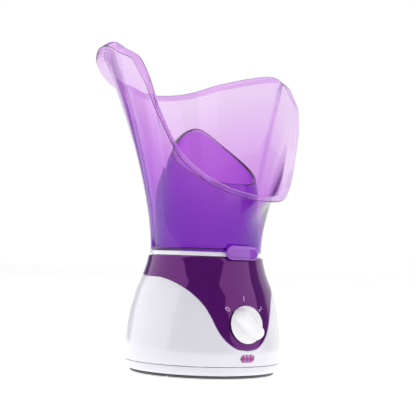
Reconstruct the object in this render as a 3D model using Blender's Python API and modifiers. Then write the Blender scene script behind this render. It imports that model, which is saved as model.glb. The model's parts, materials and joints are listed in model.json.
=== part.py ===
"""Facial steamer: a round heated base, a clear steam cowl and a clear face mask.

The frame has its origin under the middle of the base, on the table, with +Z up
and the knob, the user's side, towards -Y.  The object is nearly symmetric about
X = 0: the knob's pose and a small lean of the mask's rim are not.
"""

import math

import bmesh
import bpy
import numpy as np

MM = 0.001
GAP = 0.3 * MM              # clearance between pieces that touch
MERGE = 0.00001             # distance under which modifiers merge points

# ---------------------------------------------------------------- dimensions
# Base body, a turned form: (height, radius) of its outer skin.
BODY_SKIN = [
    (11.8, 73.4), (22.0, 74.8), (33.4, 73.6), (48.6, 71.2), (60.0, 69.1),
    (67.6, 66.9), (78.1, 64.0), (90.4, 58.9), (101.8, 55.4), (108.6, 54.2),
]
BODY_SKIN = [(height * MM, radius * MM) for height, radius in BODY_SKIN]
BODY_WALL = 2.4 * MM
BODY_TOP_Z = 108.6 * MM
BODY_MOUTH_R = 47.4 * MM    # opening in the top deck of the upper cover
SEAM_Z = 11.8 * MM          # joint between the housing and the base ring

# Lower edge of the coloured cover: (angle from the front in degrees, height).
COVER_EDGE = [
    (0, 26.3), (8, 27.8), (14, 32.2), (19, 38.2), (23, 45.6), (27, 55.0),
    (33, 65.8), (43, 76.0), (55, 83.2), (70, 88.0), (90, 89.5), (180, 89.5),
]
COVER_EDGE = [(math.radians(angle), height * MM) for angle, height in COVER_EDGE]

# Base ring, base plate and feet.
RING_BOTTOM_Z = 3.4 * MM
RING_BOTTOM_R = 69.6 * MM
PLATE_BOTTOM_Z = 1.0 * MM
PLATE_R = 68.5 * MM
FOOT_R = 8.0 * MM
FOOT_TOP_Z = 2.0 * MM
FOOT_CIRCLE_R = 50.0 * MM
SCREW_CIRCLE_R = 64.6 * MM
SCREW_ANGLES = [60, 120, 240, 300]
SCREW_R = 1.4 * MM
SCREW_HOLE_R = 1.9 * MM
PILOT_R = 1.7 * MM
SCREW_HEAD_R = 3.0 * MM
HEAD_RECESS = 1.2 * MM
BOSS_R = 4.0 * MM
BOSS_TOP_Z = 27.0 * MM
RIB_THICKNESS = 2.5 * MM
RING_FLOOR_R = 59.5 * MM    # inner edge of the ring's floor

# Outlet collar, water bowl and seal.
COLLAR_TOP_Z = 112.9 * MM
COLLAR_R = 53.3 * MM
COLLAR_BORE_R = 47.2 * MM
COLLAR_LEDGE_R = 41.6 * MM  # inner edge of the ledge that carries the bowl
COLLAR_SEAT_R = 44.6 * MM   # recess that centres the bowl's flange
COLLAR_SEAT_TOP_Z = 104.6 * MM
COWL_SOCKET_DEPTH = 6.6 * MM
BOWL_FLANGE_Z = 99.0 * MM
BOWL_FLANGE_R = 44.2 * MM
BOWL_R = 40.0 * MM
BOWL_BOTTOM_Z = 62.0 * MM
BOWL_WALL = 1.5 * MM

# Heater below the bowl.
SPREADER_R = 28.0 * MM
SPREADER_THICKNESS = 2.4 * MM
ELEMENT_R = 22.0 * MM
ELEMENT_TUBE_R = 3.2 * MM
ELEMENT_LEG = 9.0 * MM
ELEMENT_START = 205         # degrees from the front at which the ring's first leg stands
THERMOSTAT_R = 8.0 * MM
LEAD_R = 0.9 * MM
BRACKET_Z = 48.0 * MM
BRACKET_R = 44.5 * MM
BRACKET_HOLE_R = 26.6 * MM
BRACKET_THICKNESS = 1.2 * MM
POST_R = 4.2 * MM
POST_CIRCLE_R = 40.0 * MM
POST_ANGLES = [84, 204, 324]

# Steam cowl: a tube whose mouth sweeps up from the front to the back.
COWL_FOOT_R = 46.6 * MM
COWL_R = 49.4 * MM
COWL_WALL = 2.0 * MM
COWL_FRONT_Z = 174.7 * MM
COWL_BACK_Z = 231.0 * MM
COWL_SWEEP = 1.17           # power of the mouth's rise from the front to the back
COWL_DOME_Z = 150.0 * MM     # height where the wall starts to lean in
COWL_DOME_R = 135.0 * MM     # radius of the wall's lean above it
COWL_FOOT_Z = 107.4 * MM
COWL_LIP = 3.0 * MM

# Face mask.
MASK_FOOT_R = 52.4 * MM
MASK_WALL = 2.4 * MM
MASK_FOOT_Z = 113.2 * MM
LIP_WIDTH_FRONT = 8.0 * MM
LIP_WIDTH_BACK = 8.6 * MM
LIP_DROP_FRONT = 3.9 * MM
LIP_DROP_BACK = 2.8 * MM
WAIST_RISE = 27.0 * MM      # height over which the wall runs straight up
WAIST_SHARE = 0.18          # further rise of the waist, as a share of the rim's rise
TAB_LENGTH = 38.0 * MM
TAB_HEIGHT = 13.0 * MM
TAB_INNER_R = 55.2 * MM
TAB_OUTER_R = 58.0 * MM
TAB_WEB = 4.8 * MM          # height of the web that joins the tab to the wall
# Fold of the mask's rim, from the front middle round one side to the back middle.
RIM = [
    (0, -90.5, 161.5), (14, -85.5, 163.5), (28, -73.5, 169.5), (44, -58, 181.5),
    (60, -42, 202), (73, -30, 234.5), (79, -20, 263), (82, -5.5, 281.3), (88, 10, 289.7),
    (90, 27, 297.4), (85.5, 53, 299.0), (68, 89, 293.2), (39, 112, 280.2), (0, 118.5, 274.2),
]
RIM = [tuple(value * MM for value in point) for point in RIM]
WING_SKEW = 5.5 * MM        # the -X wing stands this much higher, the +X wing lower
WING_X = 90 * MM

# Knob, switch and indicator on the front.
KNOB_Z = 49.0 * MM
KNOB_R = 17.3 * MM
KNOB_DISC = 3.9 * MM
KNOB_HEIGHT = 13.4 * MM
GRIP_WIDTH = 13.0 * MM
SHAFT_R = 3.0 * MM
SHAFT_LENGTH = 9.5 * MM     # outside the cover
SHAFT_DEPTH = 10.0 * MM     # inside it
NECK_R = 4.9 * MM
KNOB_REST = 50.0            # degrees the grip points left of upright at rest
LENS_Z = 19.3 * MM
LENS_LENGTH = 15.0 * MM
LENS_HEIGHT = 6.6 * MM
LENS_DEPTH = 3.2 * MM
LENS_SETBACK = 1.3 * MM     # of its middle, behind the housing's skin
LAMP_R = 2.4 * MM
GLAND_Z = 24.0 * MM
GLAND_R = 5.0 * MM
GLAND_BORE_R = 3.3 * MM

PURPLE = (0.11, 0.012, 0.17, 1.0)
CLEAR_PURPLE = (0.42, 0.12, 0.68, 1.0)
WHITE = (0.86, 0.86, 0.88, 1.0)
DARK = (0.09, 0.09, 0.10, 1.0)
STEEL = (0.62, 0.62, 0.60, 1.0)


# ------------------------------------------------------------------- helpers
def new_collection(name):
    collection = bpy.data.collections.new(name)
    bpy.context.scene.collection.children.link(collection)
    return collection


for stale in list(bpy.data.objects):
    bpy.data.objects.remove(stale, do_unlink=True)
PARTS = new_collection("facial_steamer")
CUTTERS = new_collection("cutters")


def material(name, colour, roughness=0.4, metallic=0.0, alpha=1.0):
    made = bpy.data.materials.new(name)
    made.use_nodes = True
    shader = made.node_tree.nodes["Principled BSDF"]
    shader.inputs["Base Color"].default_value = colour
    shader.inputs["Roughness"].default_value = roughness
    shader.inputs["Metallic"].default_value = metallic
    shader.inputs["Alpha"].default_value = alpha
    return made


def add_object(name, mesh, look=None, collection=None):
    made = bpy.data.objects.new(name, mesh)
    (collection or PARTS).objects.link(made)
    if look is not None:
        mesh.materials.append(look)
    return made


def mesh_from(name, points, faces):
    mesh = bpy.data.meshes.new(name)
    mesh.from_pydata([tuple(point) for point in points], [], faces)
    mesh.update()
    return mesh


def smooth(piece, angle=35.0):
    piece.data.shade_smooth()
    piece.data.set_sharp_from_angle(angle=math.radians(angle))
    return piece


def turned(name, outline, look=None, steps=32, collection=None):
    """A closed outline of (radius, height), outer side first from top to bottom."""
    points = [(radius, 0.0, height) for radius, height in outline]
    edges = [(i, i + 1) for i in range(len(points) - 1)]
    if outline[0][0] > MERGE or outline[-1][0] > MERGE:
        edges.append((len(points) - 1, 0))
    mesh = bpy.data.meshes.new(name)
    mesh.from_pydata(points, edges, [])
    piece = add_object(name, mesh, look, collection)
    screw = piece.modifiers.new("turn", "SCREW")
    screw.steps = steps
    screw.render_steps = steps
    screw.use_merge_vertices = True
    screw.merge_threshold = MERGE
    screw.use_smooth_shade = True
    return piece


def box(name, size, centre, look=None, collection=None):
    mesh = bpy.data.meshes.new(name)
    shape = bmesh.new()
    bmesh.ops.create_cube(shape, size=1.0)
    bmesh.ops.scale(shape, vec=size, verts=shape.verts)
    bmesh.ops.translate(shape, vec=centre, verts=shape.verts)
    shape.to_mesh(mesh)
    shape.free()
    return add_object(name, mesh, look, collection)


def cylinder(name, radius, bottom, top, centre=(0.0, 0.0), look=None, sides=24,
             collection=None):
    mesh = bpy.data.meshes.new(name)
    shape = bmesh.new()
    bmesh.ops.create_cone(shape, cap_ends=True, segments=sides, radius1=radius,
                          radius2=radius, depth=top - bottom)
    bmesh.ops.translate(shape, vec=(centre[0], centre[1], (top + bottom) / 2),
                        verts=shape.verts)
    shape.to_mesh(mesh)
    shape.free()
    return add_object(name, mesh, look, collection)


def obround(name, length, height, depth, look=None, collection=None):
    """A flat bar with round ends in the local XY plane, centred on its depth."""
    curve = bpy.data.curves.new(name, "CURVE")
    curve.dimensions = "2D"
    curve.fill_mode = "BOTH"
    curve.extrude = depth / 2
    ends = 6
    radius = height / 2
    reach = length / 2 - radius
    outline = []
    for side, start in ((1, -90.0), (-1, 90.0)):
        for step in range(ends + 1):
            angle = math.radians(start + 180.0 * step / ends)
            outline.append((side * reach + radius * math.cos(angle),
                            radius * math.sin(angle)))
    spline = curve.splines.new("POLY")
    spline.points.add(len(outline) - 1)
    for point, (x, y) in zip(spline.points, outline):
        point.co = (x, y, 0.0, 1.0)
    spline.use_cyclic_u = True
    guide = bpy.data.objects.new(name + "_outline", curve)
    PARTS.objects.link(guide)
    return curve_to_mesh(guide, name, look, collection)


def curve_to_mesh(guide, name, look=None, collection=None):
    """Replace a curve by the closed mesh that it draws."""
    bpy.context.view_layer.update()
    graph = bpy.context.evaluated_depsgraph_get()
    mesh = bpy.data.meshes.new_from_object(guide.evaluated_get(graph))
    mesh.name = name
    shape = bmesh.new()
    shape.from_mesh(mesh)
    bmesh.ops.remove_doubles(shape, verts=shape.verts, dist=MERGE)
    bmesh.ops.recalc_face_normals(shape, faces=shape.faces)
    shape.to_mesh(mesh)
    shape.free()
    mesh.materials.clear()
    piece = add_object(name, mesh, look, collection)
    piece.matrix_world = guide.matrix_world.copy()
    bpy.data.objects.remove(guide, do_unlink=True)
    return piece


def wire(name, route, radius, look, resolution=2):
    """A round bar along a list of points, as a closed mesh."""
    curve = bpy.data.curves.new(name, "CURVE")
    curve.dimensions = "3D"
    curve.bevel_depth = radius
    curve.bevel_resolution = resolution
    curve.use_fill_caps = True
    spline = curve.splines.new("POLY")
    spline.points.add(len(route) - 1)
    for point, place in zip(spline.points, route):
        point.co = (*place, 1.0)
    guide = bpy.data.objects.new(name + "_route", curve)
    PARTS.objects.link(guide)
    return smooth(curve_to_mesh(guide, name, look))


def boolean(piece, cutter, operation="DIFFERENCE"):
    cutter.hide_render = True
    cutter.display_type = "WIRE"
    for collection in list(cutter.users_collection):
        collection.objects.unlink(cutter)
    CUTTERS.objects.link(cutter)
    modifier = piece.modifiers.new(operation.lower(), "BOOLEAN")
    modifier.operation = operation
    modifier.solver = "EXACT"
    modifier.object = cutter
    return modifier


def bevel(piece, width, segments=2):
    modifier = piece.modifiers.new("round_edges", "BEVEL")
    modifier.width = width
    modifier.segments = segments
    modifier.limit_method = "ANGLE"
    modifier.angle_limit = math.radians(40)
    return modifier


def on_circle(radius, degrees):
    """A point of a circle, its angle counted from the front towards +X."""
    angle = math.radians(degrees)
    return radius * math.sin(angle), -radius * math.cos(angle)


def smooth_path(points, steps):
    """Points along a Catmull-Rom curve through the given ones."""
    points = [np.array(point, float) for point in points]
    before = 2 * points[0] - points[1]
    after = 2 * points[-1] - points[-2]
    chain = [before, *points, after]
    path = []
    for i in range(1, len(chain) - 2):
        a, b, c, d = chain[i - 1:i + 3]
        for step in range(steps):
            t = step / steps
            path.append(0.5 * (2 * b + (c - a) * t + (2 * a - 5 * b + 4 * c - d) * t * t
                               + (3 * b - a - 3 * c + d) * t ** 3))
    path.append(points[-1])
    return path


# ------------------------------------------------------------- base body shell
SKIN_PATH = smooth_path(BODY_SKIN, 12)
EDGE_PATH = smooth_path(COVER_EDGE, 12)


def skin_radius(height):
    return float(np.interp(height, [p[0] for p in SKIN_PATH], [p[1] for p in SKIN_PATH]))


def cover_edge(angle):
    """Height of the coloured cover's lower edge at an angle from the front."""
    angle = abs((angle + math.pi) % (2 * math.pi) - math.pi)
    return float(np.interp(angle, [p[0] for p in EDGE_PATH], [p[1] for p in EDGE_PATH]))


def body_angles():
    """Angles round the body, closer together along the tongue's sides."""
    side = [0, 5, 10, 14, 18, 21, 24, 27, 31, 36, 42, 49, 57, 67, 78, 90, 103, 116, 129,
            142, 155, 168]
    whole = side + [180] + [-angle for angle in side[:0:-1]]
    return [math.radians(angle) for angle in whole]


def skin_sheet(name, low, high, rows, look, deck=None):
    """A sheet of the body's skin between two edges, closed round the body."""
    angles = body_angles()
    points = []
    for row in range(rows):
        for angle in angles:
            height = low(angle) + (high(angle) - low(angle)) * row / (rows - 1)
            radius = skin_radius(height)
            points.append((radius * math.sin(angle), -radius * math.cos(angle), height))
    if deck is not None:
        for angle in angles:
            points.append((deck * math.sin(angle), -deck * math.cos(angle), BODY_TOP_Z))
        rows += 1
    around = len(angles)
    faces = []
    for row in range(rows - 1):
        for i in range(around):
            j = (i + 1) % around
            faces.append((row * around + i, row * around + j,
                          (row + 1) * around + j, (row + 1) * around + i))
    piece = add_object(name, mesh_from(name, points, faces), look)
    solid = piece.modifiers.new("wall", "SOLIDIFY")
    solid.thickness = BODY_WALL
    solid.offset = -1.0
    solid.use_even_offset = True
    return smooth(piece)


def boss_cylinders(name, radius, bottom, top, collection=None):
    return [cylinder(f"{name}_{i + 1}", radius, bottom, top,
                     on_circle(SCREW_CIRCLE_R, angle), sides=16, collection=collection)
            for i, angle in enumerate(SCREW_ANGLES)]


def make_housing():
    look = material("housing_white", WHITE, 0.25)
    housing = skin_sheet("lower_housing", lambda angle: SEAM_Z,
                         lambda angle: cover_edge(angle) - GAP / 2, 6, look)
    rib_low = SEAM_Z + 1.3 * MM
    rib_top = BOSS_TOP_Z - 0.4 * MM
    for i, angle in enumerate(SCREW_ANGLES):
        rib = box(f"housing_rib_{i + 1}", (RIB_THICKNESS, 6 * MM, rib_top - rib_low),
                  (0.0, -(SCREW_CIRCLE_R + 5.2 * MM), (rib_top + rib_low) / 2))
        rib.rotation_euler.z = math.radians(angle)
        boolean(housing, rib, "UNION")
    for boss in boss_cylinders("housing_boss", BOSS_R, SEAM_Z + 0.4 * MM, BOSS_TOP_Z):
        boolean(housing, boss, "UNION")
    for hole in boss_cylinders("housing_pilot", PILOT_R, SEAM_Z - MM, BOSS_TOP_Z - 3 * MM):
        boolean(housing, hole)
    window = obround("lens_window", LENS_LENGTH, LENS_HEIGHT, 12 * MM)
    window.location = (0.0, -skin_radius(LENS_Z), LENS_Z)
    window.rotation_euler.x = math.radians(90)
    boolean(housing, window)
    inlet = cylinder("gland_hole", GLAND_R + GAP, -8 * MM, 8 * MM, sides=20)
    inlet.location = (0.0, skin_radius(GLAND_Z), GLAND_Z)
    inlet.rotation_euler.x = math.radians(90)
    boolean(housing, inlet)
    return housing


def make_cover(knob_frame):
    look = material("cover_purple", PURPLE, 0.15)
    cover = skin_sheet("upper_cover", lambda angle: cover_edge(angle) + GAP / 2,
                       lambda angle: BODY_TOP_Z, 7, look, deck=BODY_MOUTH_R)
    hole = cylinder("shaft_hole", NECK_R + 0.4 * MM, -9 * MM, 9 * MM, sides=20)
    hole.parent = knob_frame
    boolean(cover, hole)
    return cover


# ------------------------------------------------------------ ring, plate, feet
def make_base_ring():
    top = SEAM_Z - GAP
    low = RING_BOTTOM_Z
    outer = skin_radius(SEAM_Z)
    inner = outer - BODY_WALL
    outline = [
        (outer, top), (outer - 0.4 * MM, low + 4 * MM), (outer - 1.4 * MM, low + 1.8 * MM),
        (RING_BOTTOM_R + MM, low + 0.5 * MM), (RING_BOTTOM_R - 0.8 * MM, low),
        (RING_FLOOR_R, low), (RING_FLOOR_R, low + 2 * MM), (inner - 1.6 * MM, low + 2.4 * MM),
        (inner, low + 5 * MM), (inner, top),
    ]
    ring = turned("base_ring", outline, material("ring_white", WHITE, 0.25), steps=40)
    for boss in boss_cylinders("ring_boss", BOSS_R, RING_BOTTOM_Z + MM, SEAM_Z):
        boolean(ring, boss, "UNION")
    for hole in boss_cylinders("ring_hole", SCREW_HOLE_R, 0.0, SEAM_Z + 2 * MM):
        boolean(ring, hole)
    return ring


def make_base_plate():
    top = RING_BOTTOM_Z - GAP
    outline = [
        (0.0, top), (PLATE_R - 0.4 * MM, top), (PLATE_R, top - 0.5 * MM),
        (PLATE_R - 0.8 * MM, PLATE_BOTTOM_Z), (0.0, PLATE_BOTTOM_Z),
    ]
    plate = turned("base_plate", outline, material("plate_grey", DARK, 0.5), steps=40)
    for hole in boss_cylinders("plate_hole", SCREW_HOLE_R, 0.0, 2 * RING_BOTTOM_Z):
        boolean(plate, hole)
    recess_top = PLATE_BOTTOM_Z + HEAD_RECESS
    for recess in boss_cylinders("head_recess", SCREW_HEAD_R + GAP, 0.0, recess_top):
        boolean(plate, recess)
    for i in range(4):
        recess = cylinder(f"foot_recess_{i + 1}", FOOT_R + GAP, 0.0, FOOT_TOP_Z + GAP,
                          on_circle(FOOT_CIRCLE_R, 45 + 90 * i))
        boolean(plate, recess)
    return plate


def make_feet():
    outline = [
        (0.0, FOOT_TOP_Z), (FOOT_R, FOOT_TOP_Z), (FOOT_R, 0.7 * MM),
        (FOOT_R - 0.7 * MM, 0.0), (0.0, 0.0),
    ]
    look = material("foot_rubber", (0.55, 0.56, 0.57, 1.0), 0.7)
    for i in range(4):
        foot = turned(f"foot_{i + 1}", outline, look, steps=24)
        foot.location = (*on_circle(FOOT_CIRCLE_R, 45 + 90 * i), 0.0)


def make_base_screws():
    head_top = PLATE_BOTTOM_Z + HEAD_RECESS - GAP
    tip = BOSS_TOP_Z - 4 * MM
    outline = [
        (0.0, tip), (SCREW_R - 0.4 * MM, tip), (SCREW_R, tip - 1.5 * MM),
        (SCREW_R, head_top), (SCREW_HEAD_R, head_top),
        (SCREW_HEAD_R - 0.2 * MM, head_top - 0.6 * MM), (0.0, head_top - 0.9 * MM),
    ]
    look = material("screw_steel", STEEL, 0.35, 1.0)
    for i, angle in enumerate(SCREW_ANGLES):
        screw = turned(f"base_screw_{i + 1}", outline, look, steps=16)
        screw.location = (*on_circle(SCREW_CIRCLE_R, angle), 0.0)


# --------------------------------------------------- collar, bowl, seal, heater
def make_collar():
    deck = BODY_TOP_Z + GAP
    skirt_r = BODY_MOUTH_R - GAP - 0.2 * MM
    ledge_low = BOWL_FLANGE_Z - 4 * MM
    ledge_top = BOWL_FLANGE_Z - 2 * MM
    socket = COLLAR_TOP_Z - COWL_SOCKET_DEPTH
    step_r = COLLAR_BORE_R - 1.2 * MM
    outline = [
        (COLLAR_R - 0.6 * MM, COLLAR_TOP_Z), (COLLAR_R, COLLAR_TOP_Z - 0.6 * MM),
        (COLLAR_R, deck), (skirt_r, deck), (skirt_r, ledge_low),
        (COLLAR_LEDGE_R, ledge_low), (COLLAR_LEDGE_R, ledge_top),
        (COLLAR_SEAT_R, ledge_top), (COLLAR_SEAT_R, COLLAR_SEAT_TOP_Z),
        (step_r, COLLAR_SEAT_TOP_Z), (step_r, socket),
        (COLLAR_BORE_R - 0.2 * MM, socket), (COLLAR_BORE_R, COLLAR_TOP_Z),
    ]
    return turned("outlet_collar", outline, material("collar_white", WHITE, 0.3), 40)


def make_bowl():
    flange = BOWL_FLANGE_Z
    low = BOWL_BOTTOM_Z
    wall = BOWL_WALL
    outline = [
        (BOWL_FLANGE_R, flange), (BOWL_FLANGE_R, flange - 1.6 * MM),
        (BOWL_R + 1.2 * MM, flange - 1.6 * MM), (BOWL_R, flange - 3 * MM),
        (BOWL_R - 2 * MM, low + 10 * MM), (BOWL_R - 6 * MM, low + 2.5 * MM),
        (BOWL_R - 11 * MM, low), (0.0, low),
        (0.0, low + wall), (BOWL_R - 11.3 * MM, low + wall),
        (BOWL_R - 7.2 * MM, low + 3.6 * MM), (BOWL_R - 2 * MM - wall, low + 10.6 * MM),
        (BOWL_R - wall, flange - 2 * MM), (BOWL_R + 0.4 * MM, flange),
    ]
    return turned("water_bowl", outline, material("bowl_aluminium", STEEL, 0.3, 1.0), 32)


def make_seal():
    low = BOWL_FLANGE_Z + GAP
    outline = [
        (BOWL_FLANGE_R, low + 2.2 * MM), (BOWL_FLANGE_R, low), (BOWL_R + 0.8 * MM, low),
        (BOWL_R + 0.4 * MM, low + 1.1 * MM), (BOWL_R + 1.2 * MM, low + 2.2 * MM),
    ]
    return turned("bowl_seal", outline, material("seal_silicone", (0.8, 0.8, 0.78, 1.0), 0.6))


def make_heater():
    top = BOWL_BOTTOM_Z - GAP
    cast = material("spreader_aluminium", STEEL, 0.45, 1.0)
    low = top - SPREADER_THICKNESS
    turned("heat_spreader", [
        (0.0, top), (SPREADER_R, top), (SPREADER_R, low), (0.0, low),
    ], cast, 32)
    look = material("element_steel", (0.35, 0.34, 0.33, 1.0), 0.4, 1.0)
    height = low - GAP - ELEMENT_TUBE_R
    route = []
    bends = 24
    for step in range(bends + 1):
        angle = ELEMENT_START + (360 - 2 * (ELEMENT_START - 180)) * step / bends
        route.append((*on_circle(ELEMENT_R, angle), height))
    first = route[0]
    last = route[-1]
    route = [(first[0], first[1], height - ELEMENT_LEG), *route,
             (last[0], last[1], height - ELEMENT_LEG)]
    wire("heating_element", route, ELEMENT_TUBE_R, look)
    foot = low - THERMOSTAT_R
    cap_r = THERMOSTAT_R - 0.8 * MM
    turned("thermostat", [
        (0.0, low - GAP), (THERMOSTAT_R, low - GAP), (THERMOSTAT_R, low - 3 * MM),
        (cap_r, low - 3.4 * MM), (cap_r, foot), (0.0, foot),
    ], material("thermostat_black", (0.04, 0.04, 0.045, 1.0), 0.5), 24)
    blade = (0.8 * MM, 5.0 * MM, 3.6 * MM)
    for name, side in (("left", -1), ("right", 1)):
        box(f"thermostat_blade_{name}", blade,
            (side * cap_r * 0.6, 0.0, foot - GAP - blade[2] / 2), cast)


def make_bracket():
    look = material("bracket_steel", STEEL, 0.4, 1.0)
    plate_top = BRACKET_Z
    plate_low = plate_top - BRACKET_THICKNESS
    bracket = turned("heater_bracket", [
        (BRACKET_R, plate_top), (BRACKET_R, plate_low),
        (BRACKET_HOLE_R, plate_low), (BRACKET_HOLE_R, plate_top),
    ], look, 40)
    for i, angle in enumerate(POST_ANGLES):
        hole = cylinder(f"post_hole_{i + 1}", SCREW_HOLE_R, plate_top - 5 * MM,
                        plate_top + 5 * MM, on_circle(POST_CIRCLE_R, angle), sides=16)
        boolean(bracket, hole)
    post = material("post_white", WHITE, 0.4)
    steel = material("bracket_screw_steel", STEEL, 0.35, 1.0)
    floor = RING_BOTTOM_Z
    pilot_low = plate_top - 12 * MM
    for i, angle in enumerate(POST_ANGLES):
        centre = on_circle(POST_CIRCLE_R, angle)
        pillar = turned(f"bracket_post_{i + 1}", [
            (POST_R - 0.6 * MM, plate_low - GAP), (POST_R, floor), (0.0, floor),
            (0.0, pilot_low), (PILOT_R, pilot_low), (PILOT_R, plate_low - GAP),
        ], post, 16)
        pillar.location = (*centre, 0.0)
        head = plate_top + GAP
        screw = turned(f"bracket_screw_{i + 1}", [
            (0.0, head + 1.6 * MM), (SCREW_HEAD_R - 0.6 * MM, head + 1.4 * MM),
            (SCREW_HEAD_R - 0.2 * MM, head), (SCREW_R, head), (SCREW_R, pilot_low + 2 * MM),
            (0.0, pilot_low + MM),
        ], steel, 12)
        screw.location = (*centre, 0.0)


def make_wiring():
    block_size = (22 * MM, 12 * MM, 11 * MM)
    block_y = 40 * MM
    block_low = RING_BOTTOM_Z + GAP
    block = box("terminal_block", block_size, (0.0, block_y, block_low + block_size[2] / 2),
                material("terminal_nylon", (0.75, 0.74, 0.7, 1.0), 0.5))
    bevel(block, 0.8 * MM)
    lead = material("lead_sleeve", (0.5, 0.04, 0.03, 1.0), 0.6)
    spreader_low = BOWL_BOTTOM_Z - GAP - SPREADER_THICKNESS
    leg_end = spreader_low - GAP - ELEMENT_TUBE_R - ELEMENT_LEG
    for name, side in (("left", -1), ("right", 1)):
        x, y = on_circle(ELEMENT_R, 180 - side * (ELEMENT_START - 180))
        route = smooth_path([
            (x, y, leg_end - 1.5 * GAP), (x * 1.1, y + 0.5 * MM, leg_end - 7 * MM),
            (side * 7 * MM, block_y - 4 * MM, leg_end - 20 * MM),
            (side * 6 * MM, block_y, block_low + block_size[2] + 2 * GAP),
        ], 4)
        wire(f"heater_lead_{name}", route, LEAD_R, lead)


def make_gland():
    look = material("gland_black", (0.05, 0.05, 0.05, 1.0), 0.5)
    flange = 1.8 * MM
    depth = 7 * MM
    outline = [
        (GLAND_R + 2.4 * MM, flange), (GLAND_R + 2.4 * MM, GAP), (GLAND_R, GAP),
        (GLAND_R, -depth), (GLAND_BORE_R, -depth), (GLAND_BORE_R, flange),
    ]
    gland = turned("cord_inlet", outline, look, 24)
    gland.location = (0.0, skin_radius(GLAND_Z) + 0.4 * MM, GLAND_Z)
    gland.rotation_euler.x = math.radians(-90)
    return gland


# ------------------------------------------------------- knob, switch, indicator
def knob_empty():
    """An empty on the cover's skin, its Z axis along the knob's axis, outwards."""
    step = 4 * MM
    slope = (skin_radius(KNOB_Z - step) - skin_radius(KNOB_Z + step)) / (2 * step)
    axis = bpy.data.objects.new("knob_axis", None)
    PARTS.objects.link(axis)
    axis.location = (0.0, -skin_radius(KNOB_Z), KNOB_Z)
    axis.rotation_euler.x = math.pi / 2 - math.atan(slope)
    bpy.context.view_layer.update()
    return axis


def make_knob(axis):
    turn = bpy.data.objects.new("knob_turn", None)
    PARTS.objects.link(turn)
    turn.parent = axis
    turn.rotation_euler.z = math.radians(KNOB_REST)
    look = material("knob_white", WHITE, 0.3)
    rim_low = 2 * GAP
    floor = 2.6 * MM
    knob = turned("knob", [
        (0.0, KNOB_DISC + 0.6 * MM), (KNOB_R - 4 * MM, KNOB_DISC + 0.2 * MM),
        (KNOB_R - 1.0 * MM, KNOB_DISC - 1.0 * MM), (KNOB_R, KNOB_DISC - 2.8 * MM),
        (KNOB_R, rim_low), (KNOB_R - 2 * MM, rim_low), (KNOB_R - 2 * MM, floor),
        (0.0, floor),
    ], look, 40)
    grip_low = floor + 0.4 * MM
    grip = box("knob_grip", (GRIP_WIDTH, 2 * KNOB_R, KNOB_HEIGHT - grip_low),
               (0.0, 0.0, (KNOB_HEIGHT + grip_low) / 2))
    bevel(grip, 3.5 * MM, 3)
    grip.parent = turn
    boolean(knob, grip, "UNION")
    socket = cylinder("shaft_socket", SHAFT_R + GAP, 0.0, SHAFT_LENGTH + GAP, sides=20)
    socket.parent = turn
    boolean(knob, socket)
    knob.parent = turn
    shaft = cylinder("switch_shaft", SHAFT_R, -SHAFT_DEPTH, SHAFT_LENGTH, sides=20,
                     look=material("shaft_nylon", (0.7, 0.7, 0.7, 1.0), 0.4))
    shaft.parent = turn
    return turn


def make_switch(axis):
    plate_top = -BODY_WALL - MM
    plate_low = plate_top - 0.8 * MM
    body_top = plate_low - GAP
    size = (22 * MM, 20 * MM, 12 * MM)
    look = material("switch_body", (0.06, 0.06, 0.07, 1.0), 0.5)
    body = box("rotary_switch", size, (0.0, 0.0, body_top - size[2] / 2), look)
    bevel(body, 0.8 * MM)
    neck = cylinder("switch_neck", NECK_R, body_top - 2 * MM, GAP, sides=20)
    neck.parent = axis
    boolean(body, neck, "UNION")
    bore = cylinder("switch_bore", SHAFT_R + GAP, -SHAFT_DEPTH - 2 * GAP, 5 * MM, sides=20)
    bore.parent = axis
    boolean(body, bore)
    body.parent = axis
    plate = turned("switch_plate", [
        (9 * MM, plate_top), (9 * MM, plate_low), (NECK_R + GAP, plate_low),
        (NECK_R + GAP, plate_top),
    ], material("plate_steel", STEEL, 0.4, 1.0), 24)
    plate.parent = axis


def make_indicator():
    lens = obround("indicator_lens", LENS_LENGTH - 2 * GAP, LENS_HEIGHT - 2 * GAP,
                   LENS_DEPTH, material("lens_purple", CLEAR_PURPLE, 0.1, alpha=0.6))
    lens.location = (0.0, -skin_radius(LENS_Z) + LENS_SETBACK, LENS_Z)
    lens.rotation_euler.x = math.radians(90)
    lamp = cylinder("neon_lamp", LAMP_R, -2 * LAMP_R, 2 * LAMP_R, sides=16,
                    look=material("lamp_glass", (0.9, 0.5, 0.3, 1.0), 0.05, alpha=0.5))
    lamp_setback = LENS_SETBACK + LENS_DEPTH / 2 + LAMP_R + 3 * GAP
    lamp.location = (0.0, -skin_radius(LENS_Z) + lamp_setback, LENS_Z)
    lamp.rotation_euler.y = math.radians(90)
    bevel(lamp, 1.2 * MM)


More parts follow.
